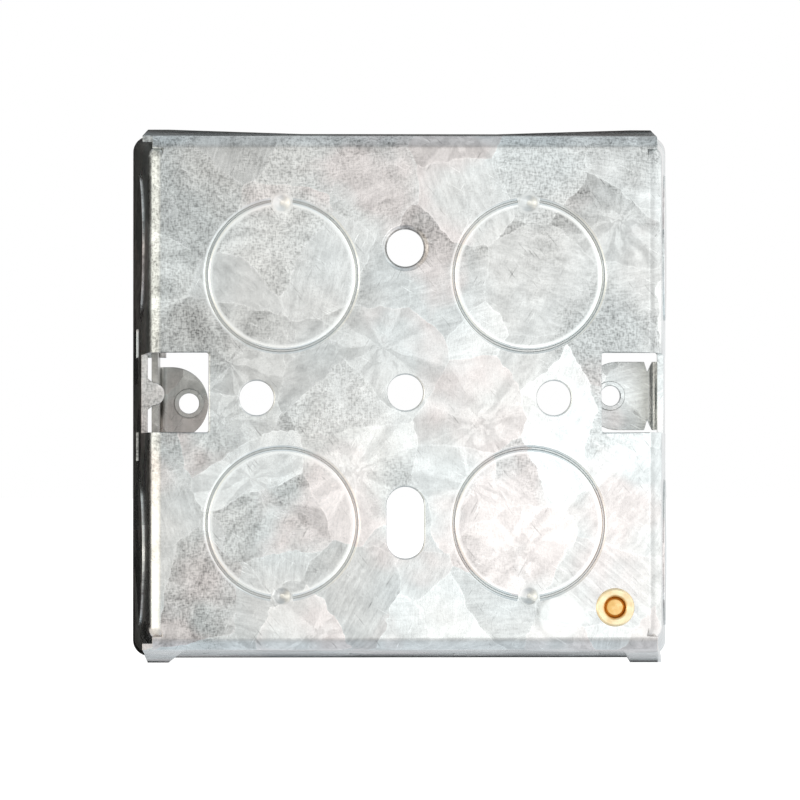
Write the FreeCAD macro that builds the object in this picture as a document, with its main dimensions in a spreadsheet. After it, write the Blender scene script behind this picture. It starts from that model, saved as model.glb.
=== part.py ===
import FreeCAD
import Part
import Sketcher

import math
import os

from FreeCAD import Placement, Rotation, Vector

# Flush back box, one gang: a cross of galvanised steel sheet folded into an open tray, with a fixed
# screw lug folded in from one side wall, a sliding lug caught by two clips on the other, and a brass
# earth terminal riveted through the base.
#
# Frame: the back face of the base lies at y = 0 and looks along +Y. The open front is at
# y = -depth. +Z is up on the wall. The origin is the centre of the middle fixing hole.

document = FreeCAD.newDocument("flush_back_box")
sizes = document.addObject("Spreadsheet::Sheet", "Sizes")

# Driving dimensions, in millimetres. Each becomes a cell of the sheet with its name as alias.

DRIVING_SIZES = {
    # The folded sheet
    "sheet": 0.9,
    "depth": 35,
    "base_width": 70.2,
    "rim_width": 76.4,
    "bend_radius": 1.9,
    "corner_radius": 2.3,
    "corner_notch": 2.0,
    "top_fold_length": 66.6,
    "end_bend_length": 69.2,
    "tab_length": 4.5,
    "tab_gap": 0.05,
    "end_flat": 5.1,
    "top_bow": 0.6,
    "top_flat_width": 28,
    "bottom_joggle": 0.7,
    "joggle_run": 0.45,
    "end_reach": 36.1,
    "left_end_root": 36.0,
    "right_end_root": 34.6,
    "bottom_end_gap": 0.6,
    # Cut-outs beside the lugs
    "cutout_start": 26.9,
    "cutout_height": 10.9,
    "cutout_depth": 16,
    "cutout_corner": 0.35,
    # Fixing holes in the base
    "centre_hole_radius": 2.46,
    "side_hole_radius": 2.36,
    "side_hole_reach": 20.34,
    "side_hole_drop": 0.75,
    "top_hole_radius": 2.55,
    "top_hole_height": 19.8,
    "top_hole_dish": 0.5,
    "slot_width": 5.1,
    "slot_length": 9.8,
    "slot_drop": 17.8,
    # Knockouts
    "knockout_radius": 10.3,
    "knockout_slit": 0.2,
    "knockout_score": 0.6,
    "knockout_score_inside": 0.15,
    "knockout_shoulder": 0.36,
    "knockout_shoulder_drop": 0.12,
    "knockout_bridge": 3.0,
    "knockout_push": 0.25,
    "mark_radius": 1.3,
    "mark_depth": 0.35,
    "base_knockout_reach": 16.9,
    "base_knockout_rise": 16.0,
    "base_knockout_drop": 17.9,
    "side_knockout_rise": 20.6,
    "side_knockout_drop": 22.2,
    "side_knockout_depth": 20,
    "end_knockout_reach": 17.5,
    "end_knockout_depth": 18.5,
    # Lugs: their tapped holes are 60.3 mm apart
    "lug_hole_reach": 30.15,
    "lug_hole_radius": 1.45,
    "lug_collar_radius": 2.1,
    "lug_collar_height": 1.0,
    "lug_setback": 0.4,
    "fixed_lug_width": 9.8,
    "fixed_lug_centre": 31.2,
    "fixed_lug_bend": 2.4,
    "fixed_lug_root": 4.2,
    "relief_width": 0.5,
    "relief_notch_outer": 36.4,
    "relief_notch_inner": 34.9,
    "relief_notch_tip": 35.5,
    "relief_notch_depth": 1.5,
    # The sliding lug and what holds it
    "slider_face": 35.1,
    "slider_back": 17.0,
    "slider_width": 17.2,
    "slider_shoulder": 31.0,
    "slider_lug_width": 10.4,
    "slider_lug_centre": 32.6,
    "slider_bend": 1.9,
    "slider_lowered": 1.1,
    "slider_travel": 2.5,
    "slider_clearance": 0.06,
    "stop_root_width": 5.1,
    "stop_tip_radius": 1.6,
    "stop_tip_reach": 33.3,
    "clip_depth": 27.8,
    "clip_length": 4.7,
    "clip_gap_half": 5.3,
    "clip_width": 4.0,
    "clip_window": 5.3,
    "clip_bend": 1.2,
    "clip_slot_play": 0.3,
    # Earth terminal
    "earth_reach": 28.74,
    "earth_drop": 29.4,
    "tail_radius": 2.0,
    "rivet_radius": 2.63,
    "rivet_height": 0.3,
    "rivet_edge": 0.25,
    "post_radius": 3.2,
    "post_height": 6.0,
    "thread_radius": 1.45,
    "fit_clearance": 0.02,
    "washer_width": 8.4,
    "washer_thickness": 0.9,
    "washer_wing": 2.0,
    "screw_head_radius": 3.0,
    "screw_head_height": 2.2,
    "screw_edge": 0.35,
    "screw_slot_width": 0.9,
    "screw_slot_depth": 1.2,
    "screw_tip_recess": 0.8,
}

for row, (alias, millimetres) in enumerate(DRIVING_SIZES.items(), start=1):
    sizes.set(f"A{row}", alias)
    sizes.set(f"B{row}", str(millimetres))
    sizes.setAlias(f"B{row}", alias)

document.recompute()

# Derived places, written as expressions on the sheet

HALF_BASE = "Sizes.base_width / 2"
SLOPE = "((Sizes.rim_width - Sizes.base_width) / 2 / Sizes.depth)"
FLARE = f"atan({SLOPE})"
SHEET_ACROSS = f"(Sizes.sheet / cos({FLARE}))"
HALF_FLAT = f"({HALF_BASE} - Sizes.bend_radius * tan((90 deg - {FLARE}) / 2))"
INNER_BEND = "(Sizes.bend_radius - Sizes.sheet)"
LUG_FRONT = "(Sizes.depth - Sizes.lug_setback)"
LUG_BACK = "(Sizes.depth - Sizes.lug_setback - Sizes.sheet)"
NOTCH, RIM = "Sizes.corner_notch", "Sizes.depth"


def face_at(depth):
    """Half the width over the outer faces of the flared walls, at a depth behind the base."""
    return f"({HALF_BASE} + ({depth}) * {SLOPE})"


def inner_face_at(depth):
    """Half the width between the inner faces of the flared walls, at a depth behind the base."""
    return f"({face_at(depth)} - {SHEET_ACROSS})"


def tab_face_at(depth):
    """Half the height over the outer faces of the corner tabs, at one depth."""
    return f"({inner_face_at(depth)} - Sizes.tab_gap)"


def corner_start_at(depth):
    """Half the height of the side wall's flat plate, at one depth."""
    return f"({tab_face_at(depth)} - Sizes.corner_radius)"


def number(text):
    """The present value of an expression, as a plain number."""
    result = sizes.evalExpression(text)
    return float(getattr(result, "Value", result))


# Sketch helpers

def new_body(name):
    body = document.addObject("PartDesign::Body", name)
    body.Label = name
    return body


def origin_plane(body, role):
    return next(item for item in body.Origin.OriginFeatures if item.Role == role)


def attach(item, body, role, offset=None, turn=None):
    """Attach a sketch or a primitive to one of its body's own planes.

    offset gives expressions for x, y and z in the plane's own directions, and turn one for the
    angle about the plane's normal.
    """
    item.AttachmentSupport = (origin_plane(body, role), [""])
    item.MapMode = "FlatFace"
    if turn is not None:
        item.AttachmentOffset = Placement(Vector(), Rotation(Vector(0, 0, 1), number(turn)))
        item.setExpression("AttachmentOffset.Rotation.Angle", turn)
    for axis, text in (offset or {}).items():
        item.setExpression(f"AttachmentOffset.Base.{axis}", text)


def new_sketch(body, name, role, offset=None, turn=None):
    sketch = body.newObject("Sketcher::SketchObject", name)
    attach(sketch, body, role, offset, turn)
    return sketch


def bind(sketch, constraint, text):
    """Add a dimension and tie it to the sheet."""
    index = sketch.addConstraint(constraint)
    sketch.setExpression(f"Constraints[{index}]", text)


def pin(sketch, geometry, point, x_text, y_text):
    """Hold one point of a sketch at a place worked out from the sheet."""
    for kind, text, axis in (("DistanceX", x_text, -2), ("DistanceY", y_text, -1)):
        if text == "0":
            sketch.addConstraint(Sketcher.Constraint("PointOnObject", geometry, point, axis))
        else:
            distance = Sketcher.Constraint(kind, -1, 1, geometry, point, number(text))
            bind(sketch, distance, text)


def outline(sketch, path):
    """Draw a closed outline.

    Each corner is (x, y), or (x, y, radius, centre x, centre y) where an arc leads to the next.
    """
    corners = [Vector(number(corner[0]), number(corner[1]), 0) for corner in path]
    pieces = []
    for index, corner in enumerate(path):
        start = corners[index]
        finish = corners[(index + 1) % len(path)]
        if len(corner) == 2:
            pieces.append((sketch.addGeometry(Part.LineSegment(start, finish)), 1, 2))
            continue
        radius, centre_x, centre_y = corner[2:]
        centre = Vector(number(centre_x), number(centre_y), 0)
        to_start = start - centre
        to_finish = finish - centre
        turns_left = to_start.cross(to_finish).z > 0
        low, high = (to_start, to_finish) if turns_left else (to_finish, to_start)
        low_angle = math.atan2(low.y, low.x)
        high_angle = math.atan2(high.y, high.x)
        if high_angle < low_angle:
            high_angle += 2 * math.pi
        circle = Part.Circle(centre, Vector(0, 0, 1), number(radius))
        geometry = sketch.addGeometry(Part.ArcOfCircle(circle, low_angle, high_angle))
        pieces.append((geometry, 1, 2) if turns_left else (geometry, 2, 1))
        bind(sketch, Sketcher.Constraint("Radius", geometry, number(radius)), radius)
    for index, (geometry, start_point, end_point) in enumerate(pieces):
        following, following_start, _ = pieces[(index + 1) % len(pieces)]
        joint = Sketcher.Constraint("Coincident", geometry, end_point, following, following_start)
        sketch.addConstraint(joint)
        pin(sketch, geometry, start_point, path[index][0], path[index][1])


def circle(sketch, x_text, y_text, radius_text):
    centre = Vector(number(x_text), number(y_text), 0)
    shape = Part.Circle(centre, Vector(0, 0, 1), number(radius_text))
    geometry = sketch.addGeometry(shape)
    pin(sketch, geometry, 3, x_text, y_text)
    bind(sketch, Sketcher.Constraint("Radius", geometry, number(radius_text)), radius_text)


def rectangle(sketch, x_low, y_low, x_high, y_high):
    outline(sketch, [(x_low, y_low), (x_high, y_low), (x_high, y_high), (x_low, y_high)])


# Feature helpers

def pad(body, name, sketch, length, midplane=False, reverse=False):
    feature = body.newObject("PartDesign::Pad", name)
    feature.Profile = sketch
    feature.setExpression("Length", length)
    feature.Midplane = midplane
    feature.Reversed = reverse
    return feature


def pocket(body, name, sketch, length, midplane=False, reverse=False):
    feature = body.newObject("PartDesign::Pocket", name)
    feature.Profile = sketch
    feature.setExpression("Length", length)
    feature.Midplane = midplane
    feature.Reversed = reverse
    return feature


def mirrored(body, name, features, role):
    feature = body.newObject("PartDesign::Mirrored", name)
    feature.Originals = features
    feature.MirrorPlane = (origin_plane(body, role), [""])
    body.Tip = feature
    return feature


# The folded tray

box = new_body("box_body")


def fold_profile(place):
    """Section of the base with a bend and a short leg at each end, like a shallow channel.

    place(across, depth) turns a distance from the middle and a depth into sketch coordinates.
    """
    across_outer = f"({HALF_FLAT} + Sizes.bend_radius * cos({FLARE}))"
    across_inner = f"({HALF_FLAT} + {INNER_BEND} * cos({FLARE}))"
    depth_outer = f"(Sizes.bend_radius - Sizes.bend_radius * sin({FLARE}))"
    depth_inner = f"(Sizes.bend_radius - {INNER_BEND} * sin({FLARE}))"

    def corner(across, depth, radius=None, side=""):
        x_text, y_text = place(f"{side}{across}", depth)
        if radius is None:
            return (x_text, y_text)
        return (x_text, y_text, radius, *place(f"{side}{HALF_FLAT}", "Sizes.bend_radius"))

    outer, inner = "Sizes.bend_radius", INNER_BEND
    return [
        corner(HALF_FLAT, "0", outer),
        corner(across_outer, depth_outer),
        corner(face_at(NOTCH), NOTCH),
        corner(inner_face_at(NOTCH), NOTCH),
        corner(across_inner, depth_inner, inner),
        corner(HALF_FLAT, "Sizes.sheet"),
        corner(HALF_FLAT, "Sizes.sheet", inner, "-"),
        corner(across_inner, depth_inner, None, "-"),
        corner(inner_face_at(NOTCH), NOTCH, None, "-"),
        corner(face_at(NOTCH), NOTCH, None, "-"),
        corner(across_outer, depth_outer, outer, "-"),
        corner(HALF_FLAT, "0", None, "-"),
    ]


def minus(text):
    return "0" if text == "0" else f"-{text}"


side_folds = new_sketch(box, "side_fold_section", "XY_Plane")
outline(side_folds, fold_profile(lambda across, depth: (across, minus(depth))))
pad(box, "base_and_side_bends", side_folds, f"2 * {corner_start_at(NOTCH)}", midplane=True)

top_folds = new_sketch(box, "top_fold_section", "YZ_Plane")
top_profile = fold_profile(lambda across, depth: (minus(depth), across))
outline(top_folds, top_profile)
pad(box, "top_and_bottom_bends", top_folds, "Sizes.top_fold_length", midplane=True)

# Past the flat base only the two bends run on, as far as the ends of the top and bottom walls
bend_ends = new_sketch(box, "end_bend_section", "YZ_Plane")
outline(bend_ends, top_profile[:6])
outline(bend_ends, top_profile[6:])
pad(box, "end_bends", bend_ends, "Sizes.end_bend_length", midplane=True)

# Side walls: a flat plate, tapered like its neighbours' flare, between two rounded corners that
# each end in a short tab under the end of the next wall

side_section = new_sketch(box, "side_plate_section", "XY_Plane")
outline(side_section, [
    (face_at(NOTCH), f"-{NOTCH}"),
    (face_at(RIM), f"-{RIM}"),
    (inner_face_at(RIM), f"-{RIM}"),
    (inner_face_at(NOTCH), f"-{NOTCH}"),
])
side_plate = pad(
    box, "side_plate", side_section, f"2 * {corner_start_at(RIM)}", midplane=True
)

taper = new_sketch(box, "side_plate_taper", "YZ_Plane", {"z": f"({HALF_FLAT} - Sizes.sheet)"})
for side in ("", "-"):
    outline(taper, [
        (f"-{NOTCH}", f"{side}{corner_start_at(NOTCH)}"),
        (f"-{RIM}", f"{side}{corner_start_at(RIM)}"),
        (f"-{NOTCH}", f"{side}{corner_start_at(RIM)}"),
    ])
plate_trim = pocket(box, "side_plate_trim", taper, "10 * Sizes.sheet", reverse=True)


def corner_section(depth, side):
    """Section of a corner and its tab at one depth. side is "" at the top and "-" at the bottom."""
    face, tab_outer = face_at(depth), tab_face_at(depth)
    tab_end = f"({face} - Sizes.tab_length)"
    tab_inner = f"({tab_outer} - Sizes.sheet)"
    bend_x = f"({face} - Sizes.corner_radius)"
    bend_z = f"{side}{corner_start_at(depth)}"
    inner_radius = "(Sizes.corner_radius - Sizes.sheet)"
    return [
        (face, bend_z, "Sizes.corner_radius", bend_x, bend_z),
        (bend_x, f"{side}{tab_outer}"),
        (tab_end, f"{side}{tab_outer}"),
        (tab_end, f"{side}{tab_inner}"),
        (bend_x, f"{side}{tab_inner}", inner_radius, bend_x, bend_z),
        (f"({bend_x} + {inner_radius})", bend_z),
    ]


def lofted(name, section_at_notch, section_at_rim):
    near = new_sketch(box, f"{name}_at_notch", "XZ_Plane", {"z": NOTCH})
    outline(near, section_at_notch)
    far = new_sketch(box, f"{name}_at_rim", "XZ_Plane", {"z": RIM})
    outline(far, section_at_rim)
    loft = box.newObject("PartDesign::AdditiveLoft", name)
    loft.Profile = near
    loft.Sections = [far]
    loft.Ruled = True
    return loft


def corner_cup(name, side):
    """Carry the side bend a quarter turn round the corner of the base."""
    centre_x = f"({face_at(NOTCH)} - Sizes.corner_radius)"
    place = {"x": centre_x, "z": f"{side}{corner_start_at(NOTCH)}"}
    section = new_sketch(box, f"{name}_section", "XY_Plane", place)
    bend = fold_profile(lambda across, depth: (f"({across} - {centre_x})", minus(depth)))[:6]
    outline(section, bend + [("0", "-Sizes.sheet"), ("0", "0")])
    cup = box.newObject("PartDesign::Revolution", name)
    cup.Profile = section
    cup.ReferenceAxis = (section, ["V_Axis"])
    cup.Angle = 90
    cup.Reversed = side == ""
    return cup


upper_corner = lofted("upper_corner", corner_section(NOTCH, ""), corner_section(RIM, ""))
lower_corner = lofted("lower_corner", corner_section(NOTCH, "-"), corner_section(RIM, "-"))
cups = [corner_cup("upper_cup", ""), corner_cup("lower_cup", "-")]
side_wall = [side_plate, plate_trim, upper_corner, lower_corner, *cups]
mirrored(box, "side_walls", side_wall, "YZ_Plane")

# Top and bottom walls: flat in the middle, stepped out at their ends over the tabs


def end_wall_section(depth, upwards, low_end, high_end, flat_half, step_half, step):
    """Section of the top or bottom wall at one depth, from its -X end to its +X end."""
    face = face_at(depth)
    middle = f"({face} - {step})"
    outer = [
        (f"-{low_end}", face),
        (f"-{step_half}", face),
        (f"-{flat_half}", middle),
        (flat_half, middle),
        (step_half, face),
        (high_end, face),
    ]
    inner = [(across, f"({height} - {SHEET_ACROSS})") for across, height in reversed(outer)]
    return [(across, height if upwards else f"-{height}") for across, height in outer + inner]


def step_half_at(depth):
    return f"({face_at(depth)} - Sizes.end_flat)"


TOP_FLAT = "(Sizes.top_flat_width / 2)"


def top_section(depth, low_end, high_end, bow):
    return end_wall_section(depth, True, low_end, high_end, TOP_FLAT, step_half_at(depth), bow)


def bottom_section(depth, high_end, joggle):
    free_end = f"({face_at(depth)} - Sizes.bottom_end_gap)"
    flat_half = f"({step_half_at(depth)} - Sizes.joggle_run)"
    return end_wall_section(
        depth, False, free_end, high_end, flat_half, step_half_at(depth), joggle
    )


lofted(
    "top_wall",
    top_section(NOTCH, "Sizes.right_end_root", "Sizes.left_end_root", "0"),
    top_section(RIM, "Sizes.end_reach", "Sizes.end_reach", "Sizes.top_bow"),
)
lofted(
    "bottom_wall",
    bottom_section(NOTCH, "Sizes.left_end_root", "0"),
    bottom_section(RIM, "Sizes.end_reach", "Sizes.bottom_joggle"),
)

# Cut-outs beside the lugs, through the base, its bend and the first part of each side wall

BEYOND = "(Sizes.rim_width / 2 + 5 * Sizes.sheet)"
HALF_CUTOUT = "(Sizes.cutout_height / 2)"

cutout = new_sketch(box, "cutout_outline", "XZ_Plane")
cutout_turn = "(Sizes.cutout_start + Sizes.cutout_corner)"
cutout_side = f"({HALF_CUTOUT} - Sizes.cutout_corner)"
outline(cutout, [
    (BEYOND, f"-{HALF_CUTOUT}"),
    (BEYOND, HALF_CUTOUT),
    (cutout_turn, HALF_CUTOUT, "Sizes.cutout_corner", cutout_turn, cutout_side),
    ("Sizes.cutout_start", cutout_side),
    ("Sizes.cutout_start", f"-{cutout_side}", "Sizes.cutout_corner", cutout_turn, f"-{cutout_side}"),
    (cutout_turn, f"-{HALF_CUTOUT}"),
])
cutout_cut = pocket(box, "cutout", cutout, "Sizes.cutout_depth", reverse=True)
mirrored(box, "cutouts", [cutout_cut], "YZ_Plane")

# Fixing holes, the slot and the hole for the earth terminal's tail

holes = new_sketch(box, "base_holes", "XZ_Plane")
circle(holes, "0", "0", "Sizes.centre_hole_radius")
circle(holes, "Sizes.side_hole_reach", "-Sizes.side_hole_drop", "Sizes.side_hole_radius")
circle(holes, "-Sizes.side_hole_reach", "-Sizes.side_hole_drop", "Sizes.side_hole_radius")
circle(holes, "0", "Sizes.top_hole_height", "Sizes.top_hole_radius")
circle(holes, "-Sizes.earth_reach", "-Sizes.earth_drop", "(Sizes.tail_radius + Sizes.fit_clearance)")
slot_half = "(Sizes.slot_width / 2)"
slot_run = "((Sizes.slot_length - Sizes.slot_width) / 2)"
slot_high = f"({slot_run} - Sizes.slot_drop)"
slot_low = f"(-{slot_run} - Sizes.slot_drop)"
outline(holes, [
    (slot_half, slot_low),
    (slot_half, slot_high, slot_half, "0", slot_high),
    ("0", f"({slot_high} + {slot_half})", slot_half, "0", slot_high),
    (f"-{slot_half}", slot_high),
    (f"-{slot_half}", slot_low, slot_half, "0", slot_low),
    ("0", f"({slot_low} - {slot_half})", slot_half, "0", slot_low),
])
pocket(box, "base_holes_cut", holes, "2 * Sizes.sheet", reverse=True)

dish = box.newObject("PartDesign::SubtractiveCone", "top_hole_dish_cut")
attach(dish, box, "XZ_Plane", {"y": "Sizes.top_hole_height"})
dish.setExpression("Radius1", "Sizes.top_hole_radius + Sizes.top_hole_dish")
dish.setExpression("Radius2", "Sizes.top_hole_radius")
dish.setExpression("Height", "Sizes.top_hole_dish")

# Knockouts in the base: a disc scored deeply round its edge from both faces, with one full bridge.
# Each section is drawn with x out of the sheet, 0 at its outer face, and y as the radius.

SLIT_IN = "(Sizes.knockout_radius - Sizes.knockout_slit / 2)"
SLIT_OUT = "(Sizes.knockout_radius + Sizes.knockout_slit / 2)"
BELOW_SHEET = "-2 * Sizes.sheet"


def ring_cut(name, ring):
    """Turn a ring's section into a cut that stops short of the bridge, opposite the section."""
    groove = box.newObject("PartDesign::Groove", name)
    groove.Profile = ring
    groove.ReferenceAxis = (ring, ["H_Axis"])
    groove.Midplane = True
    bridge_angle = "2 * asin(Sizes.knockout_bridge / 2 / Sizes.knockout_radius)"
    groove.setExpression("Angle", f"360 deg - {bridge_angle}")
    return groove


def base_knockout(name, offset, side):
    """Score a ring from both faces, with rounded-down shoulders on the back face.

    side, "" or "-", faces away from the bridge.
    """
    ring = new_sketch(box, f"{name}_section", "YZ_Plane", offset)
    drop = "Sizes.knockout_shoulder_drop"
    outline(ring, [
        ("-Sizes.knockout_score", f"{side}{SLIT_IN}"),
        (f"-{drop}", f"{side}{SLIT_IN}"),
        (drop, f"{side}({SLIT_IN} - 2 * Sizes.knockout_shoulder)"),
        (drop, f"{side}({SLIT_OUT} + 2 * Sizes.knockout_shoulder)"),
        (f"-{drop}", f"{side}{SLIT_OUT}"),
        ("-Sizes.knockout_score", f"{side}{SLIT_OUT}"),
    ])
    inside = "-(Sizes.sheet - Sizes.knockout_score_inside)"
    rectangle(ring, BELOW_SHEET, f"{side}{SLIT_IN}", inside, f"{side}{SLIT_OUT}")
    ring_cut(name, ring)


MARK_BALL = "((Sizes.mark_radius ^ 2 + Sizes.mark_depth ^ 2) / 2 / Sizes.mark_depth)"


def punch_mark(name, across, height):
    """Sink the small round dent that the press leaves at a base knockout's bridge."""
    mark = box.newObject("PartDesign::SubtractiveSphere", name)
    out_of_sheet = f"({MARK_BALL} - Sizes.mark_depth)"
    attach(mark, box, "XZ_Plane", {"x": across, "y": height, "z": f"-{out_of_sheet}"})
    mark.setExpression("Radius", MARK_BALL)


MARK_REACH = "(Sizes.knockout_radius - Sizes.knockout_shoulder)"

for column, across in (("left", "Sizes.base_knockout_reach"), ("right", "-Sizes.base_knockout_reach")):
    for row, height, away, towards in (
        ("top", "Sizes.base_knockout_rise", "-", "+"),
        ("bottom", "-Sizes.base_knockout_drop", "", "-"),
    ):
        base_knockout(f"base_knockout_{row}_{column}", {"y": height, "z": across}, away)
        punch_mark(f"punch_mark_{row}_{column}", across, f"{height} {towards} {MARK_REACH}")

# Knockouts in the walls: a plain slit, and in the side walls the disc also stands a little proud


def wall_slit(name, role, offset, turn, side):
    """Cut the slit round a knockout in a wall."""
    ring = new_sketch(box, f"{name}_slit_section", role, offset, turn)
    low, high = f"{side}{SLIT_IN}", f"{side}{SLIT_OUT}"
    rectangle(ring, BELOW_SHEET, low, "2 * Sizes.sheet", high)
    return ring_cut(name, ring)


def pushed_disc(name, role, offset, turn):
    """Push a disc out of a wall: a low step outside and an equal hollow inside."""
    raised = new_sketch(box, f"{name}_raised_half", role, offset, turn)
    rectangle(raised, "0", "0", "Sizes.knockout_push", SLIT_IN)
    pushed = box.newObject("PartDesign::Revolution", f"{name}_raised")
    pushed.Profile = raised
    pushed.ReferenceAxis = (raised, ["H_Axis"])
    hollow = new_sketch(box, f"{name}_hollow_half", role, offset, turn)
    rectangle(hollow, BELOW_SHEET, "0", f"(Sizes.knockout_push - {SHEET_ACROSS})", SLIT_IN)
    dented = box.newObject("PartDesign::Groove", f"{name}_hollow")
    dented.Profile = hollow
    dented.ReferenceAxis = (hollow, ["H_Axis"])
    return [pushed, dented]


paired_knockouts = []
for name, height in (
    ("side_knockout_upper", "Sizes.side_knockout_rise"),
    ("side_knockout_lower", "-Sizes.side_knockout_drop"),
):
    offset = {
        "x": face_at("Sizes.side_knockout_depth"),
        "y": "-Sizes.side_knockout_depth",
        "z": height,
    }
    paired_knockouts += pushed_disc(name, "XY_Plane", offset, FLARE)
    paired_knockouts.append(wall_slit(name, "XY_Plane", offset, FLARE, "-"))

for name, up, side, step in (
    ("top_knockout", "", "", "Sizes.top_bow"),
    ("bottom_knockout", "-", "-", "Sizes.bottom_joggle"),
):
    share = f"(Sizes.end_knockout_depth - {NOTCH}) / ({RIM} - {NOTCH})"
    lean = f"atan({SLOPE} - {step} / ({RIM} - {NOTCH}))"
    offset = {
        "x": "-Sizes.end_knockout_depth",
        "y": f"{up}({face_at('Sizes.end_knockout_depth')} - {step} * {share})",
        "z": "Sizes.end_knockout_reach",
    }
    turn = f"{up}(90 deg - {lean})"
    paired_knockouts.append(wall_slit(name, "YZ_Plane", offset, turn, side))
mirrored(box, "other_wall_knockouts", paired_knockouts, "YZ_Plane")

# The fixed lug: folded in from the rim of the -X wall, with relief slits beside its root

ROOT_DEPTH = "(Sizes.depth - Sizes.fixed_lug_root)"
HALF_FIXED = "(Sizes.fixed_lug_width / 2)"

root_cut = new_sketch(box, "fixed_lug_gap", "XZ_Plane", {"z": ROOT_DEPTH})
rectangle(
    root_cut,
    f"-{BEYOND}",
    f"-({HALF_FIXED} + Sizes.relief_width)",
    f"-({HALF_BASE} - 2 * Sizes.sheet)",
    f"({HALF_FIXED} + Sizes.relief_width)",
)
pocket(box, "fixed_lug_gap_cut", root_cut, "2 * Sizes.fixed_lug_root", reverse=True)

fold_tangent = f"(Sizes.fixed_lug_bend * tan((90 deg + {FLARE}) / 2))"
fold_across = f"({face_at(LUG_FRONT)} - {fold_tangent})"
fold_centre = f"({LUG_FRONT} - Sizes.fixed_lug_bend)"
inner_fold = "(Sizes.fixed_lug_bend - Sizes.sheet)"


def fold_point(radius):
    """Where the lug's fold meets the flared wall, on the outside or the inside of the sheet."""
    return (
        f"-({fold_across} + {radius} * cos({FLARE}))",
        f"-({fold_centre} - {radius} * sin({FLARE}))",
    )


fold_sketch = new_sketch(box, "fixed_lug_fold_section", "XY_Plane")
outline(fold_sketch, [
    (f"-{face_at(ROOT_DEPTH)}", f"-{ROOT_DEPTH}"),
    (*fold_point("Sizes.fixed_lug_bend"), "Sizes.fixed_lug_bend", f"-{fold_across}", f"-{fold_centre}"),
    (f"-{fold_across}", f"-{LUG_FRONT}"),
    ("-Sizes.fixed_lug_centre", f"-{LUG_FRONT}"),
    ("-Sizes.fixed_lug_centre", f"-{LUG_BACK}"),
    (f"-{fold_across}", f"-{LUG_BACK}", inner_fold, f"-{fold_across}", f"-{fold_centre}"),
    fold_point(inner_fold),
    (f"-{inner_face_at(ROOT_DEPTH)}", f"-{ROOT_DEPTH}"),
])
pad(box, "fixed_lug_fold", fold_sketch, "Sizes.fixed_lug_width", midplane=True)


def lug_end(body, name, side, centre, half):
    """Round end of a lug's plate, on the front sheet plane."""
    end = new_sketch(body, f"{name}_end_outline", "XZ_Plane", {"z": LUG_BACK})
    tip = f"{side}({centre} - {half})"
    middle = f"{side}{centre}"
    outline(end, [
        (middle, f"-{half}"),
        (middle, half, half, middle, "0"),
        (tip, "0", half, middle, "0"),
    ])
    pad(body, f"{name}_end", end, "Sizes.sheet")


def lug_thread(body, name, side):
    """Drawn collar behind the plate and the tapped hole through both."""
    collar = new_sketch(body, f"{name}_collar_outline", "XZ_Plane", {"z": LUG_BACK})
    circle(collar, f"{side}Sizes.lug_hole_reach", "0", "Sizes.lug_collar_radius")
    pad(body, f"{name}_collar", collar, "Sizes.lug_collar_height", reverse=True)
    hole = new_sketch(body, f"{name}_hole_outline", "XZ_Plane", {"z": LUG_BACK})
    circle(hole, f"{side}Sizes.lug_hole_reach", "0", "Sizes.lug_hole_radius")
    pocket(body, f"{name}_hole", hole, "4 * Sizes.lug_collar_height", midplane=True)


lug_end(box, "fixed_lug", "-", "Sizes.fixed_lug_centre", HALF_FIXED)
lug_thread(box, "fixed_lug", "-")

relief = new_sketch(box, "relief_notch_outline", "XZ_Plane", {"z": ROOT_DEPTH})
outline(relief, [
    ("-Sizes.relief_notch_outer", f"({HALF_FIXED} + Sizes.relief_width)"),
    ("-Sizes.relief_notch_tip", f"({HALF_FIXED} - Sizes.relief_notch_depth)"),
    ("-Sizes.relief_notch_inner", f"({HALF_FIXED} + Sizes.relief_width)"),
])
relief_cut = pocket(box, "relief_notch", relief, "2 * Sizes.fixed_lug_root", reverse=True)
mirrored(box, "relief_notches", [relief_cut], "XY_Plane")

# What holds the sliding lug on the +X wall: a stop tongue and two hooked clips

tongue = new_sketch(box, "stop_tongue_outline", "XZ_Plane", {"z": "Sizes.cutout_depth"})
tongue_root = f"({face_at('Sizes.cutout_depth')} - {SHEET_ACROSS} / 2)"
tip = "Sizes.stop_tip_radius"
tip_centre = f"(Sizes.stop_tip_reach + {tip})"
outline(tongue, [
    (tongue_root, "-Sizes.stop_root_width / 2"),
    (tongue_root, "Sizes.stop_root_width / 2"),
    (tip_centre, tip, tip, tip_centre, "0"),
    ("Sizes.stop_tip_reach", "0", tip, tip_centre, "0"),
    (tip_centre, f"-{tip}"),
])
pad(box, "stop_tongue", tongue, "Sizes.sheet")

CLIP_FAR = "(Sizes.clip_depth + Sizes.sheet)"
CLIP_FACE = "(Sizes.slider_face - Sizes.sheet - Sizes.slider_clearance)"

window = new_sketch(box, "clip_window_outline", "YZ_Plane", {"z": f"({CLIP_FACE} + Sizes.sheet)"})
rectangle(
    window,
    "-Sizes.clip_depth",
    "Sizes.clip_gap_half",
    "-(Sizes.clip_depth - Sizes.clip_window)",
    "(Sizes.clip_gap_half + Sizes.clip_width)",
)
window_cut = pocket(box, "clip_window_cut", window, "6 * Sizes.sheet", reverse=True)

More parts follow.
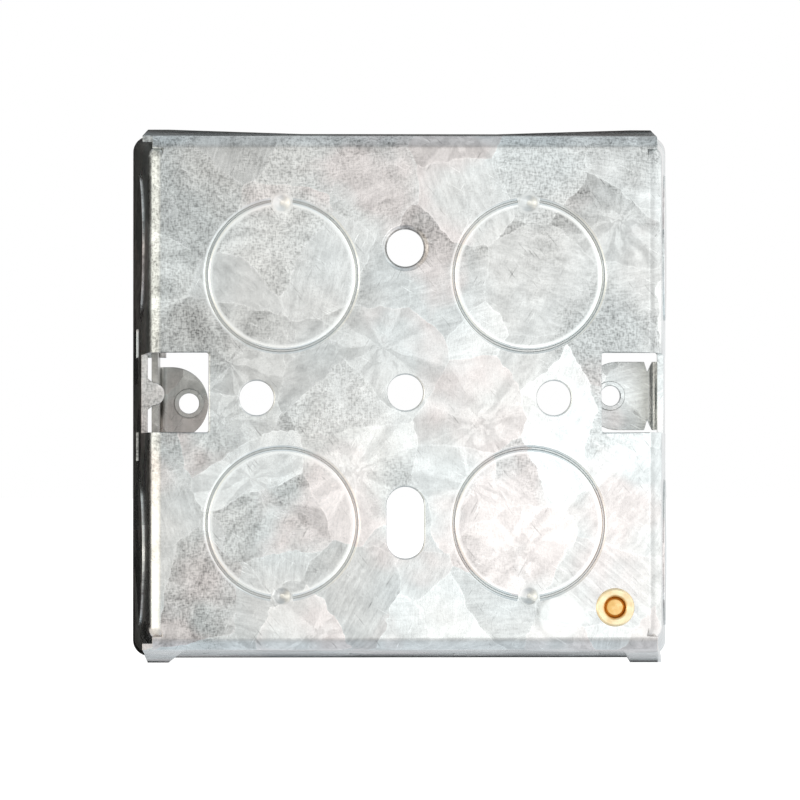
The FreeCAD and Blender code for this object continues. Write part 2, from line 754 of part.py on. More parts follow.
clip_low = f"({CLIP_FACE} - Sizes.sheet)"
clip_turn = f"({clip_low} + Sizes.clip_bend)"
clip_turn_depth = f"({CLIP_FAR} - Sizes.clip_bend)"
clip_inner = "(Sizes.clip_bend - Sizes.sheet)"
clip_root = f"({face_at(CLIP_FAR)} - {SHEET_ACROSS} / 2)"
clip = new_sketch(box, "clip_section", "XY_Plane", {"z": "Sizes.clip_gap_half"})
outline(clip, [
    (clip_root, "-Sizes.clip_depth"),
    (clip_turn, "-Sizes.clip_depth", clip_inner, clip_turn, f"-{clip_turn_depth}"),
    (CLIP_FACE, f"-{clip_turn_depth}"),
    (CLIP_FACE, f"-({CLIP_FAR} - Sizes.clip_length)"),
    (clip_low, f"-({CLIP_FAR} - Sizes.clip_length)"),
    (clip_low, f"-{clip_turn_depth}", "Sizes.clip_bend", clip_turn, f"-{clip_turn_depth}"),
    (clip_turn, f"-{CLIP_FAR}"),
    (clip_root, f"-{CLIP_FAR}"),
])
clip_pad = pad(box, "clip", clip, "Sizes.clip_width")
mirrored(box, "clips", [window_cut, clip_pad], "XY_Plane")

# The sliding lug, modelled on the box's middle line and then lowered to where it stands

slider = new_body("adjustable_lug")
slider.setExpression("Placement.Base.z", "-Sizes.slider_lowered")

SLIDER_INNER = "(Sizes.slider_face - Sizes.sheet)"
HALF_SLIDER = "(Sizes.slider_width / 2)"
HALF_SLIDER_LUG = "(Sizes.slider_lug_width / 2)"
slider_fold_depth = f"({LUG_FRONT} - Sizes.slider_bend)"
slider_fold_across = "(Sizes.slider_face - Sizes.slider_bend)"
slider_inner_bend = "(Sizes.slider_bend - Sizes.sheet)"
slot_end = "(Sizes.clip_gap_half - Sizes.slider_travel - Sizes.slider_clearance)"
slot_back = "(Sizes.clip_depth - Sizes.clip_slot_play)"
slot_front = f"({CLIP_FAR} + Sizes.clip_slot_play)"

leg = new_sketch(slider, "leg_outline", "YZ_Plane", {"z": SLIDER_INNER})
leg_half = [
    ("-Sizes.slider_back", HALF_SLIDER),
    (f"-{slot_back}", HALF_SLIDER),
    (f"-{slot_back}", slot_end),
    (f"-{slot_front}", slot_end),
    (f"-{slot_front}", HALF_SLIDER),
    ("-Sizes.slider_shoulder", HALF_SLIDER),
    ("-Sizes.slider_shoulder", HALF_SLIDER_LUG),
    (f"-{slider_fold_depth}", HALF_SLIDER_LUG),
]
outline(leg, leg_half + [(depth, f"-{height}") for depth, height in reversed(leg_half)])
pad(slider, "leg", leg, "Sizes.sheet")

fold = new_sketch(slider, "fold_section", "XY_Plane")
outline(fold, [
    ("Sizes.slider_face", f"-{slider_fold_depth}", "Sizes.slider_bend",
     slider_fold_across, f"-{slider_fold_depth}"),
    (slider_fold_across, f"-{LUG_FRONT}"),
    ("Sizes.slider_lug_centre", f"-{LUG_FRONT}"),
    ("Sizes.slider_lug_centre", f"-{LUG_BACK}"),
    (slider_fold_across, f"-{LUG_BACK}", slider_inner_bend,
     slider_fold_across, f"-{slider_fold_depth}"),
    (SLIDER_INNER, f"-{slider_fold_depth}"),
])
pad(slider, "fold", fold, "Sizes.slider_lug_width", midplane=True)
lug_end(slider, "sliding_lug", "", "Sizes.slider_lug_centre", HALF_SLIDER_LUG)
lug_thread(slider, "sliding_lug", "")

# Two side flanges reach back to the flared wall and keep the leg upright


def running_face_at(depth):
    return f"({inner_face_at(depth)} - Sizes.slider_clearance)"


foot = new_sketch(slider, "flange_outline", "XY_Plane", {"z": f"({HALF_SLIDER} - Sizes.sheet)"})
outline(foot, [
    (SLIDER_INNER, "-Sizes.slider_back"),
    (running_face_at("Sizes.slider_back"), "-Sizes.slider_back"),
    (running_face_at(slot_back), f"-{slot_back}"),
    (SLIDER_INNER, f"-{slot_back}"),
])
foot_pad = pad(slider, "flange", foot, "Sizes.sheet")
mirrored(slider, "flanges", [foot_pad], "XY_Plane")

# Earth terminal: a turned brass post riveted through the base, with its screw and clamp washer

POST_FRONT = "(Sizes.sheet + Sizes.post_height)"
EARTH_PLACE = {"x": "-Sizes.earth_reach", "z": "-Sizes.earth_drop"}


def revolved(body, name, section):
    """Turn a half section about the terminal's axis. Sketch x is the radius and y runs along +Y."""
    sketch = new_sketch(body, f"{name}_section", "XY_Plane", EARTH_PLACE)
    outline(sketch, section)
    feature = body.newObject("PartDesign::Revolution", name)
    feature.Profile = sketch
    feature.ReferenceAxis = (sketch, ["V_Axis"])
    return feature


post = new_body("earth_terminal_post")
revolved(post, "turned_post", [
    ("Sizes.thread_radius", f"-{POST_FRONT}"),
    ("Sizes.post_radius", f"-{POST_FRONT}"),
    ("Sizes.post_radius", "-Sizes.sheet"),
    ("Sizes.tail_radius", "-Sizes.sheet"),
    ("Sizes.tail_radius", "0"),
    ("Sizes.rivet_radius", "0"),
    ("Sizes.rivet_radius", "(Sizes.rivet_height - Sizes.rivet_edge)"),
    ("(Sizes.rivet_radius - Sizes.rivet_edge)", "Sizes.rivet_height"),
    ("(Sizes.thread_radius + Sizes.rivet_edge)", "Sizes.rivet_height"),
    ("Sizes.thread_radius", "(Sizes.rivet_height - Sizes.rivet_edge)"),
])

washer = new_body("earth_clamp_washer")
half_washer = "(Sizes.washer_width / 2)"
plate = new_sketch(washer, "washer_outline", "XZ_Plane", {"z": POST_FRONT})
rectangle(
    plate,
    f"(-Sizes.earth_reach - {half_washer})",
    f"(-Sizes.earth_drop - {half_washer})",
    f"(-Sizes.earth_reach + {half_washer})",
    f"(-Sizes.earth_drop + {half_washer})",
)
circle(
    plate, "-Sizes.earth_reach", "-Sizes.earth_drop", "(Sizes.thread_radius + 8 * Sizes.fit_clearance)"
)
pad(washer, "washer_plate", plate, "Sizes.washer_thickness")
wings = new_sketch(washer, "wing_outline", "XZ_Plane", {"z": POST_FRONT})
for start, finish in (
    (f"- {half_washer}", f"- {half_washer} + Sizes.washer_thickness"),
    (f"+ {half_washer} - Sizes.washer_thickness", f"+ {half_washer}"),
):
    rectangle(
        wings,
        f"(-Sizes.earth_reach - {half_washer})",
        f"(-Sizes.earth_drop {start})",
        f"(-Sizes.earth_reach + {half_washer})",
        f"(-Sizes.earth_drop {finish})",
    )
pad(washer, "wings", wings, "Sizes.washer_wing", reverse=True)

screw = new_body("earth_screw")
HEAD_BACK = f"({POST_FRONT} + Sizes.washer_thickness)"
HEAD_FRONT = f"({HEAD_BACK} + Sizes.screw_head_height)"
shank = "(Sizes.thread_radius - Sizes.fit_clearance)"
revolved(screw, "turned_screw", [
    ("0", f"-{HEAD_FRONT}"),
    ("(Sizes.screw_head_radius - Sizes.screw_edge)", f"-{HEAD_FRONT}"),
    ("Sizes.screw_head_radius", f"-({HEAD_FRONT} - Sizes.screw_edge)"),
    ("Sizes.screw_head_radius", f"-{HEAD_BACK}"),
    (shank, f"-{HEAD_BACK}"),
    (shank, "(Sizes.rivet_height - Sizes.screw_tip_recess - Sizes.screw_edge)"),
    (f"({shank} - Sizes.screw_edge)", "(Sizes.rivet_height - Sizes.screw_tip_recess)"),
    ("0", "(Sizes.rivet_height - Sizes.screw_tip_recess)"),
])
driver_slot = new_sketch(screw, "driver_slot_outline", "XZ_Plane", {"z": HEAD_FRONT})
rectangle(
    driver_slot,
    "(-Sizes.earth_reach - 2 * Sizes.screw_head_radius)",
    "(-Sizes.earth_drop - Sizes.screw_slot_width / 2)",
    "(-Sizes.earth_reach + 2 * Sizes.screw_head_radius)",
    "(-Sizes.earth_drop + Sizes.screw_slot_width / 2)",
)
pocket(screw, "driver_slot", driver_slot, "Sizes.screw_slot_depth")

# Build, check and write

pieces = (box, slider, post, washer, screw)
for body in pieces:
    # Seams between features are merged once, at the end
    for feature in body.Group:
        if "Refine" in feature.PropertiesList:
            feature.Refine = feature == body.Tip
document.recompute()
for item in document.Objects:
    if "Invalid" in item.State or "Error" in item.State:
        raise RuntimeError(f"{item.Name} failed: {item.State}")

os.makedirs("parts", exist_ok=True)
for body in pieces:
    shape = body.Shape
    if shape.isNull() or not shape.isValid() or len(shape.Solids) != 1:
        raise RuntimeError(f"{body.Label} is not one valid solid")
    shape.exportStep(f"parts/{body.Label}.step")
    corners = shape.BoundBox
    print(body.Label, round(shape.Volume, 2), [round(c, 2) for c in (
        corners.XMin, corners.YMin, corners.ZMin, corners.XMax, corners.YMax, corners.ZMax)])
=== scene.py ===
# %% [markdown]
# # A flush back box, seen from the side that goes into the wall
#
# The real thing is one flat cross of galvanised sheet, folded up into an open tray. The solids
# already have every fold, slit and hole. This lesson gives them the two things that CAD leaves
# out: edges that catch the light, and a zinc coat with its crystals.

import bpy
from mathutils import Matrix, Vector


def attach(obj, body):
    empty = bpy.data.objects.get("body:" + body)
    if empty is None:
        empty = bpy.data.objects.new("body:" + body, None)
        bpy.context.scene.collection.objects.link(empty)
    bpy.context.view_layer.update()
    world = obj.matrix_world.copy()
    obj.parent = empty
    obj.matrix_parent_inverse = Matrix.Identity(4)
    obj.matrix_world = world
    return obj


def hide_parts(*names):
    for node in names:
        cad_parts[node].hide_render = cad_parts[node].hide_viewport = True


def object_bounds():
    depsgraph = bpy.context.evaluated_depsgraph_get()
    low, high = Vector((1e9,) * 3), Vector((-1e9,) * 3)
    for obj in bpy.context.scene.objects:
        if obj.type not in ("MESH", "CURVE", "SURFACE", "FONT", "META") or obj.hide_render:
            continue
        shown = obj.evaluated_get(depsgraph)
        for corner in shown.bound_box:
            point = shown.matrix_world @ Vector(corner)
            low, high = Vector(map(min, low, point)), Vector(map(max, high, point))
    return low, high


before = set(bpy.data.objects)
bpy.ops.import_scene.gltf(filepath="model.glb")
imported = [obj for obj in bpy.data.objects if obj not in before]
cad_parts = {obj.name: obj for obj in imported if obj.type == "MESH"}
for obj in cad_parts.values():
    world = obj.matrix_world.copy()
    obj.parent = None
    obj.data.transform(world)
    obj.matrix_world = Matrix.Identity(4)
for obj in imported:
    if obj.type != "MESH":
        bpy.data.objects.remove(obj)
cad_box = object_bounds()
print("nodes:", sorted(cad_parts))

# %% [markdown]
# Lengths below are thought of in millimetres, because that is how sheet metal is drawn, and
# handed to Blender in metres. +Y points out of the back face, +Z up and +X to the left of the
# photograph.

# %% Units and tools
import math

import bmesh
import bpy
from mathutils import Vector

MM = 0.001
lowest, highest = (Vector(corner) for corner in cad_box)
print("size in mm:", [round(side / MM, 1) for side in highest - lowest])

# %% [markdown]
# ## The camera
# The photograph is taken with a long lens from straight behind the box. Two small turns are
# left: the far rim sits a little to the left of the base and a little below it, so the camera
# stands slightly to the box's +X side and slightly low. Aiming at a point beside the middle
# hole frames the box without any lens shift.

# %% Camera
CAMERA_DISTANCE = 717.5 * MM
CAMERA_SIDEWAYS = math.radians(1.30)
CAMERA_LOW = math.radians(0.74)
AIM = Vector((0.725, 0, -1.026)) * MM
SENSOR_WIDTH = 36.0
LENS = 236.0

camera_data = bpy.data.cameras.new("studio_camera")
camera_data.sensor_width = SENSOR_WIDTH
camera_data.lens = LENS
camera_data.clip_start = 10 * MM
camera = bpy.data.objects.new("studio_camera", camera_data)
bpy.context.scene.collection.objects.link(camera)
towards_camera = Vector((
    math.sin(CAMERA_SIDEWAYS) * math.cos(CAMERA_LOW),
    math.cos(CAMERA_SIDEWAYS) * math.cos(CAMERA_LOW),
    -math.sin(CAMERA_LOW),
))
camera.location = AIM + CAMERA_DISTANCE * towards_camera
camera.rotation_euler = towards_camera.to_track_quat("Z", "Y").to_euler()
bpy.context.scene.camera = camera
print("camera at", [round(value, 3) for value in camera.location])

# %% [markdown]
# ## Materials are made of small steps
# Every node is added by one short function, so that a finish reads as a list of steps. The
# others are the sums and patterns that the finishes below share.

# %% Helpers for sums


def put(tree, kind, inputs=None, **settings):
    """Add a node, set its options, and fill its inputs with values or with other nodes' outputs."""
    node = tree.nodes.new(kind)
    for name, value in settings.items():
        setattr(node, name, value)
    for name, value in (inputs or {}).items():
        if isinstance(value, bpy.types.NodeSocket):
            tree.links.new(value, node.inputs[name])
        else:
            node.inputs[name].default_value = value
    return node


def maths(tree, operation, *values):
    """One sum on numbers; returns its result."""
    inputs = dict(enumerate(values))
    return put(tree, "ShaderNodeMath", inputs, operation=operation).outputs[0]


def add(tree, total, *others):
    for value in others:
        total = maths(tree, "ADD", total, value)
    return total


def times(tree, first, second):
    return maths(tree, "MULTIPLY", first, second)


def rest_of(tree, share):
    return maths(tree, "SUBTRACT", 1.0, share)


def vectors(tree, operation, *values):
    """One sum on vectors; returns its result."""
    node = put(tree, "ShaderNodeVectorMath", dict(enumerate(values)), operation=operation)
    return node.outputs["Value" if operation in ("DOT_PRODUCT", "LENGTH") else "Vector"]


def stretch(tree, place, factors):
    return vectors(tree, "MULTIPLY", place, factors)


print("sums ready")

# %% Helpers for ranges, patterns and mixes


def remap(tree, value, low, high, to_low=0.0, to_high=1.0, smooth=False):
    """Stretch a value from one range to another and stop at the ends."""
    inputs = {"Value": value, "From Min": low, "From Max": high, "To Min": to_low, "To Max": to_high}
    kind = "SMOOTHSTEP" if smooth else "LINEAR"
    return put(tree, "ShaderNodeMapRange", inputs, interpolation_type=kind).outputs["Result"]


def noise(tree, place, scale, detail=2.0, rough=0.5, give="Fac"):
    inputs = {"Vector": place, "Scale": scale, "Detail": detail, "Roughness": rough}
    return put(tree, "ShaderNodeTexNoise", inputs).outputs[give]


def blend(tree, share, first, second):
    """Go from the first number to the second while share goes from 0 to 1."""
    return put(tree, "ShaderNodeMix", {0: share, 2: first, 3: second}).outputs[0]


def blend_colours(tree, share, first, second, how="MIX"):
    inputs = {0: share, 6: first, 7: second}
    return put(tree, "ShaderNodeMix", inputs, data_type="RGBA", blend_type=how).outputs[2]


def relief(tree, height, depth, strength, below=None):
    """Bend the light as if the surface rose and fell, on top of the relief below."""
    inputs = {"Height": height, "Distance": depth, "Strength": strength}
    if below is not None:
        inputs["Normal"] = below
    return put(tree, "ShaderNodeBump", inputs).outputs[0]


def grey(value):
    return (value, value, value, 1.0)


def new_finish(name):
    """A fresh material: its tree, its shader and the place on the object in metres."""
    material = bpy.data.materials.new(name)
    material.use_nodes = True
    tree = material.node_tree
    shader = tree.nodes["Principled BSDF"]
    place = put(tree, "ShaderNodeTexCoord").outputs["Object"]
    return material, tree, shader, place


print("patterns ready")

# %% [markdown]
# ## Hot-dip zinc
# Molten zinc freezes in flat crystals, about eleven millimetres across and with straight
# borders. A Voronoi pattern on the object's own coordinates gives them, so they also run on round
# the bends. Its random colour is the dice for everything that differs from crystal to crystal.

# %% Crystals
CRYSTALS_PER_METRE = 92.0
BORDER_WIDTH = 0.22 * MM
WAVERS_PER_METRE = 150.0
WAVER = 4 * MM


def crystals(tree, place):
    """Return three dice from 0 to 1, the pattern itself, the place it is read at and its borders."""
    waver = noise(tree, place, WAVERS_PER_METRE, 3.0, give="Color")
    waver = vectors(tree, "SUBTRACT", waver, (0.5, 0.5, 0.5))
    bent = vectors(tree, "ADD", place, stretch(tree, waver, (WAVER, WAVER, WAVER)))
    inputs = {"Vector": bent, "Scale": CRYSTALS_PER_METRE}
    cells = put(tree, "ShaderNodeTexVoronoi", inputs)
    edges = put(tree, "ShaderNodeTexVoronoi", inputs, feature="DISTANCE_TO_EDGE").outputs["Distance"]
    border = remap(tree, edges, 0.0, BORDER_WIDTH * CRYSTALS_PER_METRE, 1.0, 0.0)
    dice = put(tree, "ShaderNodeSeparateColor", {"Color": cells.outputs["Color"]}).outputs
    return dice, cells, bent, border


print("crystals about", round(1000 / CRYSTALS_PER_METRE, 1), "mm across")

# %% [markdown]
# A crystal grows in needles. In some the needles lie side by side like hatching, in others they
# fan out from the seed in pale and dark wedges. Both come from a noise that is stretched one
# way: along a turned direction for the hatching, and around the seed for the fan.

# %% Needles
NEEDLES_PER_METRE = 2300.0
NEEDLE_STRETCH = (1.0, 0.05, 0.2)
ANY_TURN = (6.3, 6.3, 6.3)
FANS_ABOVE = 0.70
WEDGES_AROUND = 2.2
RAYS_AROUND = 16.0
SHARE_OF_RAYS = 0.45


def needles(tree, place, dice, cells, bent):
    turned = put(tree, "ShaderNodeVectorRotate", {
        "Vector": place, "Rotation": stretch(tree, cells.outputs["Color"], ANY_TURN),
    }, rotation_type="EULER_XYZ").outputs[0]
    hatching = noise(tree, stretch(tree, turned, NEEDLE_STRETCH), NEEDLES_PER_METRE, 2.0, 0.6)
    outwards = vectors(tree, "NORMALIZE", vectors(tree, "SUBTRACT", bent, cells.outputs["Position"]))
    wedges = remap(tree, noise(tree, outwards, WEDGES_AROUND, 1.0), 0.45, 0.55, 0.15, 0.85)
    rays = noise(tree, outwards, RAYS_AROUND, 2.0, 0.6)
    fan = blend(tree, SHARE_OF_RAYS, wedges, rays)
    return blend(tree, maths(tree, "GREATER_THAN", dice[1], FANS_ABOVE), hatching, fan)


print("needles about", round(1000 / NEEDLES_PER_METRE, 2), "mm wide")

# %% [markdown]
# Rolling and handling leave finer marks. Where the coat is dull it has a weave of dark specks:
# two noises, one stretched along the sheet and one across it, cross like threads. Scratches are a
# noise stretched much further, of which only the peaks are kept, and they lie gathered in places.

# %% Weave and scratches
THREADS_PER_METRE = 4300.0
THREADS_ALONG = (0.40, 0.8, 1.0)
THREADS_ACROSS = (1.0, 0.8, 0.36)
SCRATCHES_PER_METRE = 3300.0
SCRATCH_STRETCH = (0.08, 0.3, 1.0)
GATHERINGS_PER_METRE = 110.0
GATHERING_STRETCH = (0.5, 1.0, 1.0)


def weave(tree, place):
    along = noise(tree, stretch(tree, place, THREADS_ALONG), THREADS_PER_METRE)
    across = noise(tree, stretch(tree, place, THREADS_ACROSS), THREADS_PER_METRE)
    return remap(tree, add(tree, along, across), 0.76, 1.12)


def scratches(tree, place, turn, kept):
    """Thin strokes that all run one way; kept is the height above which a peak becomes a stroke."""
    turned = put(tree, "ShaderNodeVectorRotate", {
        "Vector": place, "Axis": (0.0, 1.0, 0.0), "Angle": turn,
    }, rotation_type="AXIS_ANGLE").outputs[0]
    strokes = noise(tree, stretch(tree, turned, SCRATCH_STRETCH), SCRATCHES_PER_METRE, 3.0)
    strokes = remap(tree, strokes, kept, kept + 0.08)
    gathered = noise(tree, stretch(tree, turned, GATHERING_STRETCH), GATHERINGS_PER_METRE)
    return times(tree, strokes, remap(tree, gathered, 0.46, 0.60))


print("threads about", round(1000 / THREADS_PER_METRE, 2), "mm wide")

# %% [markdown]
# The press leaves its own marks on the back face. Inside each scored ring a pale band is painted on as a
# highlight along the shoulder, the score is painted dark as shade in its slit, and a round dent sits on
# its bridge.
# A round tool has also pressed a pale spot beside the earth terminal. The four rings mirror one
# another, so their marks are drawn once, on coordinates that are folded on to one quarter.

# %% Marks of the press, and painted highlight and shade on the rings
SPOT = Vector((-21.1, 0, -30.8)) * MM
SPOT_RADIUS = 3.4 * MM
SPOT_RIM = 0.9 * MM
RING_ACROSS = 16.9 * MM
RING_ABOVE = 16.0 * MM
RING_BELOW = -17.9 * MM
RING_RADIUS = 10.3 * MM
RINGS_MIDDLE = Vector((0, 0, (RING_ABOVE + RING_BELOW) / 2))
FOLDED_RING = Vector((RING_ACROSS, 0, (RING_ABOVE - RING_BELOW) / 2))
FOLDED_DENT = FOLDED_RING + Vector((0, 0, 9.94 * MM))
BAND_WIDTH = 1.0 * MM
SCORE_WIDTH = 0.24 * MM
DENT_RADIUS = 1.6 * MM


def distance_from_axis(tree, place, centre):
    """How far a point lies from a line that runs straight through the sheet."""
    offset = vectors(tree, "SUBTRACT", place, tuple(centre))
    return vectors(tree, "LENGTH", stretch(tree, offset, (1.0, 0.0, 1.0)))


def ring_marks(tree, place):
    """The painted highlight band, the painted shade of the score and the dent, each from 0 to 1."""
    folded = vectors(tree, "ABSOLUTE", vectors(tree, "SUBTRACT", place, tuple(RINGS_MIDDLE)))
    radius = distance_from_axis(tree, folded, FOLDED_RING)
    from_dent = distance_from_axis(tree, folded, FOLDED_DENT)
    dent = remap(tree, from_dent, 0.8 * DENT_RADIUS, DENT_RADIUS, 1.0, 0.0)
    # The band is a painted highlight: a pale ring inside the score, where the shoulder catches the light.
    rise = remap(tree, radius, RING_RADIUS - BAND_WIDTH, RING_RADIUS - 0.5 * BAND_WIDTH, smooth=True)
    fall = remap(tree, radius, RING_RADIUS, RING_RADIUS + 0.7 * BAND_WIDTH, 1.0, 0.0, smooth=True)
    highlight_band = times(tree, times(tree, rise, fall), rest_of(tree, dent))
    # The score is painted shade: a dark line along the slit.
    off_score = maths(tree, "ABSOLUTE", maths(tree, "SUBTRACT", radius, RING_RADIUS))
    score_shade = remap(tree, off_score, 0.3 * SCORE_WIDTH, 0.6 * SCORE_WIDTH, 1.0, 0.0)
    return highlight_band, times(tree, score_shade, rest_of(tree, dent)), dent


def pressed_spot(tree, place):
    from_spot = distance_from_axis(tree, place, SPOT)
    return remap(tree, from_spot, SPOT_RADIUS - SPOT_RIM, SPOT_RADIUS, 1.0, 0.0, smooth=True)


def back_face_only(tree, place, mark):
    depth = put(tree, "ShaderNodeSeparateXYZ", {"Vector": place}).outputs["Y"]
    return times(tree, mark, remap(tree, depth, -0.75 * MM, -0.65 * MM))


print("rings centred", round(RING_ACROSS / MM, 1), "mm to each side")

# %% [markdown]
# The coat's grey differs from crystal to crystal, and needles, blotches, borders and scratches
# each add a little to it. Dull patches come from a slow noise and from the dice. They lie
# thicker towards the top left of the photograph, and only there are the specks dark.

# %% Grey of the zinc
DULL_TOWARDS = (2.6, 0.0, 3.4)
PATCHES_PER_METRE = 44.0
BLOTCHES_PER_METRE = 420.0
CRYSTAL_GREYS = (0.62, 0.86)
NEEDLE_DEPTH = 0.10
BLOTCH_DEPTH = 0.09
BORDER_GAIN = 0.07
SPECK_DEPTHS = (0.05, 0.31)
DULL_LOSS = 0.05
SCRATCH_SETS = (
    # turn in radians, height kept, change of grey
    (0.5, 0.63, 0.20),
    (-1.1, 0.65, 0.20),
    (0.9, 0.63, -0.25),
    (2.1, 0.64, -0.22),
)


def dullness(tree, place, shifted, dice):
    patches = noise(tree, shifted, PATCHES_PER_METRE, 4.0, 0.65)
    towards_corner = vectors(tree, "DOT_PRODUCT", place, DULL_TOWARDS)
    dull = add(tree, patches, towards_corner, times(tree, dice[0], 0.32))
    return remap(tree, dull, 0.63, 0.79, smooth=True)


def zinc_grey(tree, shifted, dice, grain, border, dull, specks, woven):
    tone = remap(tree, dice[2], 0.0, 1.0, *CRYSTAL_GREYS)
    tone = add(tree, tone, remap(tree, grain, 0.2, 0.8, -NEEDLE_DEPTH, NEEDLE_DEPTH))
    blotches = noise(tree, shifted, BLOTCHES_PER_METRE, 3.0, 0.65)
    tone = add(tree, tone, remap(tree, blotches, 0.3, 0.7, -BLOTCH_DEPTH, BLOTCH_DEPTH))
    tone = add(tree, tone, times(tree, border, BORDER_GAIN))
    for turn, kept, change in SCRATCH_SETS:
        tone = add(tree, tone, times(tree, scratches(tree, shifted, turn, kept), change))
    depth = remap(tree, dull, 0.0, 1.0, *(deep * woven for deep in SPECK_DEPTHS))
    dark = add(tree, times(tree, rest_of(tree, specks), depth), times(tree, dull, DULL_LOSS))
    return maths(tree, "SUBTRACT", tone, dark)


print("sets of scratches:", len(SCRATCH_SETS))

# %% [markdown]
# Faint tints drift over the sheet: blue-green to pale green in slow clouds, and rose mostly
# crystal by crystal.

# %% Tints of the zinc
TINTS_PER_METRE = 60.0
ROSE_PER_METRE = 55.0
BLUE_GREEN = (0.93, 0.985, 0.985, 1)
PALE_GREEN = (0.985, 1.0, 0.98, 1)
ROSE = (1.0, 0.93, 0.91, 1)
ELSEWHERE = (0.31, 0.17, 0.23)
ELSEWHERE_AGAIN = (0.5, 0.2, 0.9)


def zinc_tint(tree, shifted, dice, warmth):
    drift = vectors(tree, "ADD", shifted, ELSEWHERE)
    clouds = remap(tree, noise(tree, drift, TINTS_PER_METRE), 0.40, 0.60)
    tint = blend_colours(tree, clouds, BLUE_GREEN, PALE_GREEN)
    flush = noise(tree, vectors(tree, "ADD", drift, ELSEWHERE_AGAIN), ROSE_PER_METRE, 3.0)
    flush = add(tree, flush, times(tree, dice[1], 0.22))
    tint = blend_colours(tree, remap(tree, flush, 0.66, 0.75, 0.0, 0.75), tint, ROSE)
    return blend_colours(tree, 1.0, tint, warmth, "MULTIPLY")


print("tints ready")

# %% [markdown]
# The coat puts these together. Its roughness changes with the crystals too, and the specks and some slow
# waves give a slight relief, so light breaks on the sheet as it does on metal. The sliding lug is
# smoother steel under a thinner coat, with hardly any weave, and its whole grey is darkened as painted
# shade for the shadow it sits in behind the back face.

# %% Zinc coat
# Grey of the pressed spot, and of the painted highlight band on the ring shoulders.
PALE_SPOT_AND_HIGHLIGHT_GREY = 0.95
# Grey of the painted shade along the scores.
SCORE_SHADE_GREY = 0.16
ROUGHNESSES = (0.21, 0.26)
WAVES_PER_METRE = 70.0


def zinc_coat(name, seed_shift, painted_shade_factor, warmth, woven):
    material, tree, shader, place = new_finish(name)
    shifted = vectors(tree, "ADD", place, seed_shift)
    dice, cells, bent, border = crystals(tree, shifted)
    grain = needles(tree, shifted, dice, cells, bent)
    marks = (pressed_spot(tree, place), *ring_marks(tree, place))
    spot, highlight_band, score_shade, dent = (back_face_only(tree, place, mark) for mark in marks)
    pressed_flat = maths(tree, "MAXIMUM", maths(tree, "MAXIMUM", spot, highlight_band), dent)
    specks = blend(tree, pressed_flat, weave(tree, shifted), 1.0)
    dull = dullness(tree, place, shifted, dice)

    tone = zinc_grey(tree, shifted, dice, grain, border, dull, specks, woven)
    # Pale: the pressed spot's own pale grey, and the painted highlight band on the ring shoulders.
    pale_spot_and_highlight = maths(tree, "MAXIMUM", times(tree, spot, 0.5), times(tree, highlight_band, 0.9))
    tone = blend(tree, pale_spot_and_highlight, tone, PALE_SPOT_AND_HIGHLIGHT_GREY)
    # The score is darkened as painted shade in its slit, and then the whole coat is multiplied down,
    # which is painted shade on the sliding lug.
    tone = times(tree, blend(tree, times(tree, score_shade, 0.42), tone, SCORE_SHADE_GREY), painted_shade_factor)
    grey_tone = put(tree, "ShaderNodeCombineColor", {"Red": tone, "Green": tone, "Blue": tone}).outputs[0]
    colour = blend_colours(tree, 1.0, grey_tone, zinc_tint(tree, shifted, dice, warmth), "MULTIPLY")
    tree.links.new(colour, shader.inputs["Base Color"])
    shader.inputs["Metallic"].default_value = 1.0

    rough = remap(tree, dice[1], 0.0, 1.0, *ROUGHNESSES)
    rough = add(tree, rough, times(tree, dull, 0.07), times(tree, dent, 0.06))
    tree.links.new(rough, shader.inputs["Roughness"])

    speckled = relief(tree, specks, 0.004 * MM, 0.5 * woven)
    wavy = relief(tree, noise(tree, shifted, WAVES_PER_METRE), 0.35 * MM, 0.3, speckled)
    pressed = relief(tree, spot, 0.05 * MM, 0.4, wavy)
    tree.links.new(pressed, shader.inputs["Normal"])
    return material


zinc_on_box = zinc_coat("zinc_on_box", (0.013, 0.4, 0.02), painted_shade_factor=1.0, warmth=grey(1.0), woven=1.0)
# The sliding lug's grey is multiplied down to 0.68: painted shade for the shadow it sits in.
zinc_on_lug = zinc_coat(
    "zinc_on_lug", (0.2, 0.1, 0.5), painted_shade_factor=0.68, warmth=(1.0, 0.965, 0.93, 1), woven=0.3
)
print("zinc coats:", zinc_on_box.name, zinc_on_lug.name)

# %% [markdown]
# ## Turned brass
# The earth terminal is free-cutting brass. It keeps fine turning marks round its axis and is browner in
# the recess.

# %% Brass
TERMINAL = Vector((-28.74, 0, -29.4)) * MM
RECESS = (1.35 * MM, 1.85 * MM)
TURNING_MARKS_PER_METRE = 9000.0
STAINS_PER_METRE = 700.0
BRIGHT_BRASS = (0.94, 0.80, 0.53, 1)
BROWN_BRASS = (0.80, 0.51, 0.19, 1)


def turned_brass(name):
    material, tree, shader, place = new_finish(name)
    radius = distance_from_axis(tree, place, TERMINAL)
    along_radius = put(tree, "ShaderNodeCombineXYZ", {"X": radius}).outputs[0]
    turning_marks = noise(tree, along_radius, TURNING_MARKS_PER_METRE, 3.0)
    stain = noise(tree, place, STAINS_PER_METRE, 3.0, 0.6)
    inside = remap(tree, radius, *RECESS, 1.0, 0.0, smooth=True)
    brown = remap(tree, add(tree, inside, remap(tree, stain, 0.35, 0.65, -0.25, 0.25)), 0.0, 1.0)
    tree.links.new(blend_colours(tree, brown, BRIGHT_BRASS, BROWN_BRASS), shader.inputs["Base Color"])
    shader.inputs["Metallic"].default_value = 1.0
    tree.links.new(remap(tree, stain, 0.3, 0.7, 0.24, 0.42), shader.inputs["Roughness"])
    tree.links.new(relief(tree, turning_marks, 0.02 * MM, 0.4), shader.inputs["Normal"])
    return material


brass = turned_brass("turned_brass")
print("brass:", brass.name)

